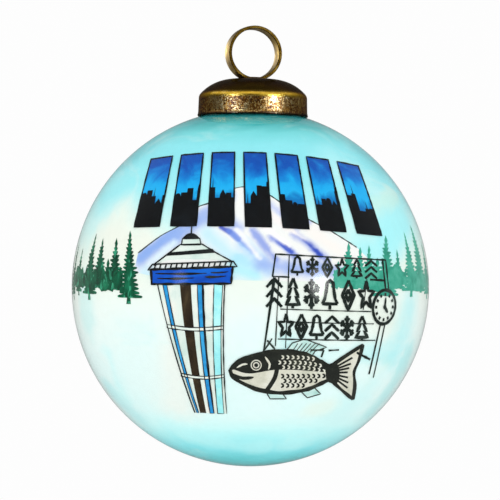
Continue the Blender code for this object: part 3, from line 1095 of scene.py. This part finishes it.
def platform(share, height):
    """The outline of a round platform that sags across the stem, at a share of the way down."""
    index = round(share * STEM_STEPS)
    (left, z), (right, z) = stem_line(*STEM_LEFT)[index], stem_line(*STEM_RIGHT)[index]
    across = [left + (right - left) * k / DECK_STEPS for k in range(DECK_STEPS + 1)]
    sag = [-DECK_SAG * math.sin(math.pi * k / DECK_STEPS) for k in range(DECK_STEPS + 1)]
    upper = [(x, z + drop) for x, drop in zip(across, sag)]
    lower = [(x, z + drop - height) for x, drop in zip(reversed(across), reversed(sag))]
    return upper + lower


def paint_tower():
    """A round lookout cabin with a cone roof on a braced stem, in place of the landmark."""
    cream = wash("tower_cream", ["cfe6de", "e6f2ea", "f6f5ec"], 130)
    blue = wash("tower_blue", ["0446ae", "0653c6", "0f68d2"], 300, (0.4, 1, 1))
    azure = wash("tower_azure", ["1f7fc6", "2a99dc", "43b2ea"], 260)
    cyan = wash("tower_cyan", ["8fe8f0", "a6f4f6", "c0fbfa"], 260)
    brown = wash("tower_brown", ["1f170e", "332818", "4a3d28"], 240, (1, 1, 0.4))
    black = ink("tower_ink", "15181a", "4a5350")

    left, right = stem_line(*STEM_LEFT), stem_line(*STEM_RIGHT)
    stem = straight([*left, *reversed(right)], closed=True, step=1.6)
    roof = smooth([(-20.2, 5.0), (-17.6, 7.0), (-14.6, 9.3)])
    roof += smooth([(-10.2, 9.5), (-6.8, 7.5), (-3.7, 5.9)])
    lantern = straight([(-14.4, 9.2), (-14.2, 10.5), (-10.6, 10.6), (-10.3, 9.3)], closed=True)
    film("tower_body", [fill(stem), fill(roof), fill(lantern)], 3, cream)

    drum = straight([(-20.5, 1.0), (-4.0, 1.4), (-3.7, 4.9), (-20.7, 4.0)], closed=True)
    decks = [platform(0.31, 0.7), platform(0.69, 0.6)]
    film("tower_gallery", [fill(drum)], 5, blue)
    film("tower_decks", [fill(deck) for deck in decks], 5, cream)
    stripes = [leg(-18.2, -10.9, 0.85, 0.4), leg(-10.95, -8.1, 1.0, 0.8)]
    film("tower_stripes", [fill(stripe) for stripe in stripes], 4, azure)
    film("tower_shade", [fill(leg(-14.6, -10.2, 2.3, 1.3))], 4, brown)
    light = leg(-7.5, -6.5, 1.8, 1.3)
    film("tower_light", [fill(light)], 4, cyan)

    cap = smooth([(-14.3, 10.5), (-13.4, 11.4), (-12.4, 11.7), (-11.4, 11.4), (-10.6, 10.6)])
    eave = straight([(-21.4, 3.9), (-20.4, 5.1), (-3.6, 6.0), (-2.8, 4.9)], closed=True)
    collar = [(-17.6, 6.9), (-16.9, 7.6), (-12.2, 8.1), (-7.9, 8.5), (-7.3, 7.7), (-12.2, 7.3)]
    lines = [fill(cap), fill(straight(collar, closed=True)), stroke(eave, 0.3, closed=True)]
    lines += [stroke(roof, 0.26, closed=True, wobble=0.3), stroke(lantern, 0.25, closed=True)]
    lines.append(stroke(drum, 0.46, closed=True, wobble=0.3))
    lines += [line([(-12.4, 11.6), (-12.3, 13.4)], 0.28, taper=(1.0, 0.4))]
    for index in range(15):
        x = -20.0 + 1.13 * index
        z = 4.2 + 0.053 * (x + 20)
        lines.append(line([(x, z), (x + 0.25, z + 0.85)], 0.3))
    for start, end, z in ((-19.8, -9.0, 3.2), (-8.2, -4.6, 3.6), (-19.4, -11.6, 2.2), (-9.5, -5.0, 2.7)):
        dash = [(start, z), ((start + end) / 2, z + 0.02), (end, z + 0.25)]
        lines.append(curve(dash, 0.42, taper=(0.2, 0.2), wobble=0.3))
    for shape in (*stripes, light):
        lines.append(stroke(shape, 0.17, closed=True, wobble=0.35))
    lines.append(stroke(stem_line(-9.8, -7.2), 0.42, taper=(1.0, 0.3), wobble=0.3))
    lines.append(stroke(left, 0.24, taper=(0.8, 1.0), wobble=0.3))
    lines.append(stroke(right, 0.24, taper=(1.0, 0.4), wobble=0.3))
    for deck in decks:
        lines.append(stroke(deck, 0.2, closed=True, wobble=0.3))
    film("tower_outlines", lines, 6, black)


# ---------------------------------------------------------------- the picture: sign


def ring_of(count, radius, turn_deg=90.0):
    """Points round a circle, the first one at turn_deg."""
    angles = [math.radians(turn_deg) + math.tau * i / count for i in range(count)]
    return [(radius * math.cos(a), radius * math.sin(a)) for a in angles]


def snowflake():
    paths = []
    for x, z in ring_of(6, 1.0):
        paths.append([(0, 0), (x, z)])
        for side in (1, -1):
            paths.append([(0.55 * x, 0.55 * z), (0.82 * x - side * 0.28 * z, 0.82 * z + side * 0.28 * x)])
    return paths


def star():
    outer, inner = ring_of(5, 1.0), ring_of(5, 0.42, 126.0)
    points = [p for pair in zip(outer, inner) for p in pair]
    return [points + points[:1]]


def bell():
    side = [(0.0, 0.95), (0.34, 0.78), (0.46, 0.2), (0.62, -0.3), (0.9, -0.62)]
    body = [(-x, z) for x, z in reversed(side)] + side[1:]
    return [body, [(-0.9, -0.62), (0.9, -0.62)], [(0, -0.66), (0, -1)]]


def little_fir():
    side = [(0, 1), (0.42, 0.35), (0.2, 0.35), (0.62, -0.25), (0.3, -0.25), (0.8, -0.75)]
    return [side + [(-x, z) for x, z in reversed(side)], [(0, -0.75), (0, -1.0)]]


def lozenge():
    return [[(0, k), (0.7 * k, 0), (0, -k), (-0.7 * k, 0), (0, k)] for k in (1, 0.4)]


def peaks():
    return [[(-0.9, z), (0, z + 0.55), (0.9, z)] for z in (0.35, -0.3, -0.95)]


DIAL_PLACE_DEG = (46.3, -4.8)
SIGN_ROWS = [
    # the first and last motif's centre, half the height, half the width, line width and motifs
    ((9.6, 5.2), (25.2, 4.6), 2.0, 1.45, 0.52, (bell, snowflake, lozenge, star, little_fir, peaks)),
    ((4.9, -0.3), (24.2, -0.9), 3.1, 1.8, 0.70, (peaks, little_fir, snowflake, bell, lozenge, star)),
    ((7.4, -7.2), (23.4, -7.7), 2.55, 1.65, 0.66, (star, lozenge, bell, peaks, snowflake, little_fir)),
]
SIGN_BARS = [
    # start, end, width
    ((5.0, 7.6), (28.4, 6.6), 0.30), ((4.4, 3.0), (8.0, 2.9), 0.30), ((25.0, 2.5), (28.3, 2.3), 0.42),
    ((6.2, -3.7), (25.4, -4.2), 0.22), ((6.0, -6.3), (26.0, -6.8), 0.22),
    ((5.8, -9.9), (26.4, -10.3), 0.26), ((5.1, 7.6), (4.5, 3.0), 0.42), ((7.9, 7.5), (7.4, -11.8), 0.22),
    ((5.8, 2.9), (5.3, -11.4), 0.22), ((4.9, 2.8), (2.9, -12.6), 0.50),
    ((3.6, -10.2), (5.2, -12.0), 0.40), ((3.1, -12.2), (4.6, -9.8), 0.30),
    ((27.7, 6.6), (28.4, 0.6), 0.34), ((28.4, 6.6), (29.1, 0.6), 0.30), ((24.3, 2.6), (23.6, -3.8), 0.22),
    ((27.4, -7.0), (25.3, -17.6), 0.30), ((28.4, -7.0), (26.3, -18.4), 0.22),
    ((12.6, -12.2), (15.4, -12.2), 0.40), ((16.4, -12.3), (18.6, -12.2), 0.34),
    ((22.4, -12.8), (25.4, -14.4), 0.50), ((15.4, -12.2), (14.9, -13.7), 0.34),
]


def paint_sign():
    """A scaffold with rows of christmas motifs, where the souvenir has its words, and a round clock."""
    lines = [line([start, end], width, wobble=0.25) for start, end, width in SIGN_BARS]
    for first, last, high, wide, width, motifs in SIGN_ROWS:
        for index, motif in enumerate(motifs):
            share = index / (len(motifs) - 1)
            x = first[0] + (last[0] - first[0]) * share
            z = first[1] + (last[1] - first[1]) * share
            for path in motif():
                drawn = straight([(x + wide * px, z + high * pz) for px, pz in path], step=0.5)
                lines.append(stroke(drawn, width, taper=(0.8, 0.8), wobble=0.12))
    green_black = ink("sign_ink", "18231f", "56655f")
    film("sign_drawing", lines, 4, green_black)

    dial = patch(*DIAL_PLACE_DEG)
    rim = ring_of(48, 3.6)
    marks = [stroke(rim, 0.74, dial, closed=True, wobble=0.12)]
    for x, z in ring_of(12, 1.0):
        marks.append(stroke(straight([(2.35 * x, 2.35 * z), (3.0 * x, 3.0 * z)], step=0.3), 0.6, dial))
    marks.append(line([(0, 0), (0.15, 2.0)], 0.62, dial, taper=(1.2, 0.5)))
    marks.append(line([(0, 0), (1.1, -1.2)], 0.75, dial, taper=(1.2, 0.5)))
    marks.append(fill(ring_of(16, 0.5), dial))
    film("clock_drawing", marks, 5, green_black)


# ---------------------------------------------------------------- the picture: salmon

FISH_BACK = [
    (-4.0, -16.6), (-2.9, -15.2), (-0.9, -14.0), (2.6, -12.9), (7.3, -12.4), (11.5, -13.0),
    (14.4, -14.4), (16.8, -15.8),
]
FISH_BELLY = [
    (16.9, -18.4), (14.6, -19.5), (11.6, -20.7), (6.5, -21.3), (2.2, -20.7), (0.2, -20.0),
    (-2.4, -18.7), (-3.6, -17.7),
]
FISH_TAIL = [
    (16.8, -15.8), (19.6, -13.8), (23.7, -11.2), (22.9, -14.6), (22.0, -17.0), (22.3, -20.0),
    (22.0, -23.0), (19.2, -20.6), (16.9, -18.4),
]
FISH_FINS = [
    [(7.4, -12.5), (8.8, -10.7), (11.4, -9.9), (16.0, -11.6), (13.6, -12.4), (12.8, -13.6)],
    [(10.6, -20.8), (12.2, -22.4), (15.0, -21.6), (13.4, -20.0)],
    [(3.4, -20.9), (4.4, -22.6), (7.8, -22.6), (6.8, -21.2)],
]
FISH_EYE = (1.4, -15.4)


def point_along(points, share):
    """The point at a share of the way along a list of points."""
    place = share * (len(points) - 1)
    index = min(int(place), len(points) - 2)
    (ax, az), (bx, bz) = points[index], points[index + 1]
    t = place - index
    return ax + (bx - ax) * t, az + (bz - az) * t


def eye_ring(count, radius):
    return [(FISH_EYE[0] + x, FISH_EYE[1] + z) for x, z in ring_of(count, radius)]


def paint_salmon():
    """A plain ink drawing of a salmon: dark back, rows of scales, finned and gilled."""
    cream = wash("fish_cream", ["c3c6b4", "d8d8c8", "e4e6da"], 260)
    fin_paint = wash("fin_paint", ["a9d6cf", "c9ebe6", "dff5f0"], 260)
    dark = ink("fish_ink", "20241f", "4c4f42")
    back, belly = smooth(FISH_BACK), smooth(FISH_BELLY)
    tail = smooth(FISH_TAIL[:3]) + smooth(FISH_TAIL[2:7]) + smooth(FISH_TAIL[6:])
    body = back + belly
    film("fish_body", [fill(body), fill(tail)], 4, cream)
    fins = [straight(points, closed=True) for points in FISH_FINS]
    film("fish_fins", [fill(points) for points in fins], 3, fin_paint)

    lines = [stroke(body, 0.85, closed=True, wobble=0.15), stroke(tail, 0.7, closed=True, wobble=0.2)]
    lines += [stroke(points, 0.22, closed=True) for points in fins]
    flank = smooth([(-3.2, -16.4), (0.0, -17.2), (5.0, -16.4), (10.0, -16.4), (16.8, -17.0)])
    lines.append(fill(back + list(reversed(flank))))
    lines.append(curve([(4.3, -12.9), (5.6, -15.4), (5.3, -18.0), (3.6, -20.9)], 0.9))
    lines.append(curve([(-3.8, -17.4), (-1.4, -18.2), (0.9, -18.0)], 0.7, taper=(1, 0.4)))
    for row, z in enumerate((-17.7, -18.7, -19.7)):
        for index in range(9 - 2 * row):
            x = 6.6 + 0.5 * (row % 2) + 1.08 * index
            scale = [(x, z + 0.42), (x + 0.42, z + 0.2), (x + 0.45, z - 0.2), (x, z - 0.42)]
            lines.append(stroke(smooth(scale, step=0.25), 0.42, taper=(0.5, 0.5)))
    for index in range(7):
        share = (index + 1) / 8
        start = (17.4, -15.9 - 2.3 * share)
        end = point_along(FISH_TAIL[2:7], share)
        tip = (0.3 * start[0] + 0.7 * end[0], 0.3 * start[1] + 0.7 * end[1])
        lines.append(line([start, tip], 0.42))
    root = smooth([(16.2, -15.6), (18.2, -15.0), (18.9, -17.2), (18.4, -19.3), (16.2, -18.7)], closed=True)
    lines.append(fill(root, spacing=0.8))
    for index in range(6):
        share = (index + 0.6) / 6
        lines.append(line([(8.2 + 4.6 * share, -12.7), (9.4 + 5.4 * share, -10.8)], 0.16))
    film("fish_drawing", lines, 5, dark)

    marks = []
    for row, (z, start, count) in enumerate(((-13.7, 6.6, 7), (-14.8, 6.0, 9), (-15.8, 6.8, 9))):
        for index in range(count):
            x = start + 1.06 * index
            drop = 0.022 * max(0.0, x - 9) ** 2
            scale = [(x, z + 0.36 - drop), (x + 0.38, z + 0.16 - drop), (x + 0.4, z - 0.16 - drop)]
            scale.append((x, z - 0.36 - drop))
            marks.append(stroke(smooth(scale, step=0.25), 0.34, taper=(0.4, 0.4)))
    marks.append(fill(eye_ring(24, 1.15), spacing=0.6))
    marks.append(curve([(-2.6, -16.0), (-1.4, -15.3), (-0.4, -15.2)], 0.4, taper=(0.3, 0.3)))
    marks.append(curve([(3.2, -13.6), (4.2, -15.2), (3.9, -16.3)], 0.45, taper=(0.3, 0.3)))
    film("fish_marks", marks, 6, cream)
    eye = [stroke(eye_ring(24, 0.8), 0.25, closed=True), fill(eye_ring(16, 0.42), spacing=0.4)]
    film("fish_eye", eye, 7, dark)


add_camera()
add_world()
build_glass()
build_lining()
build_cap()
build_ring()
build_rivet()
finish_hidden()
add_lights()
paint_mountain()
paint_firs()
paint_panels()
paint_tower()
paint_sign()
paint_salmon()
add_floor()
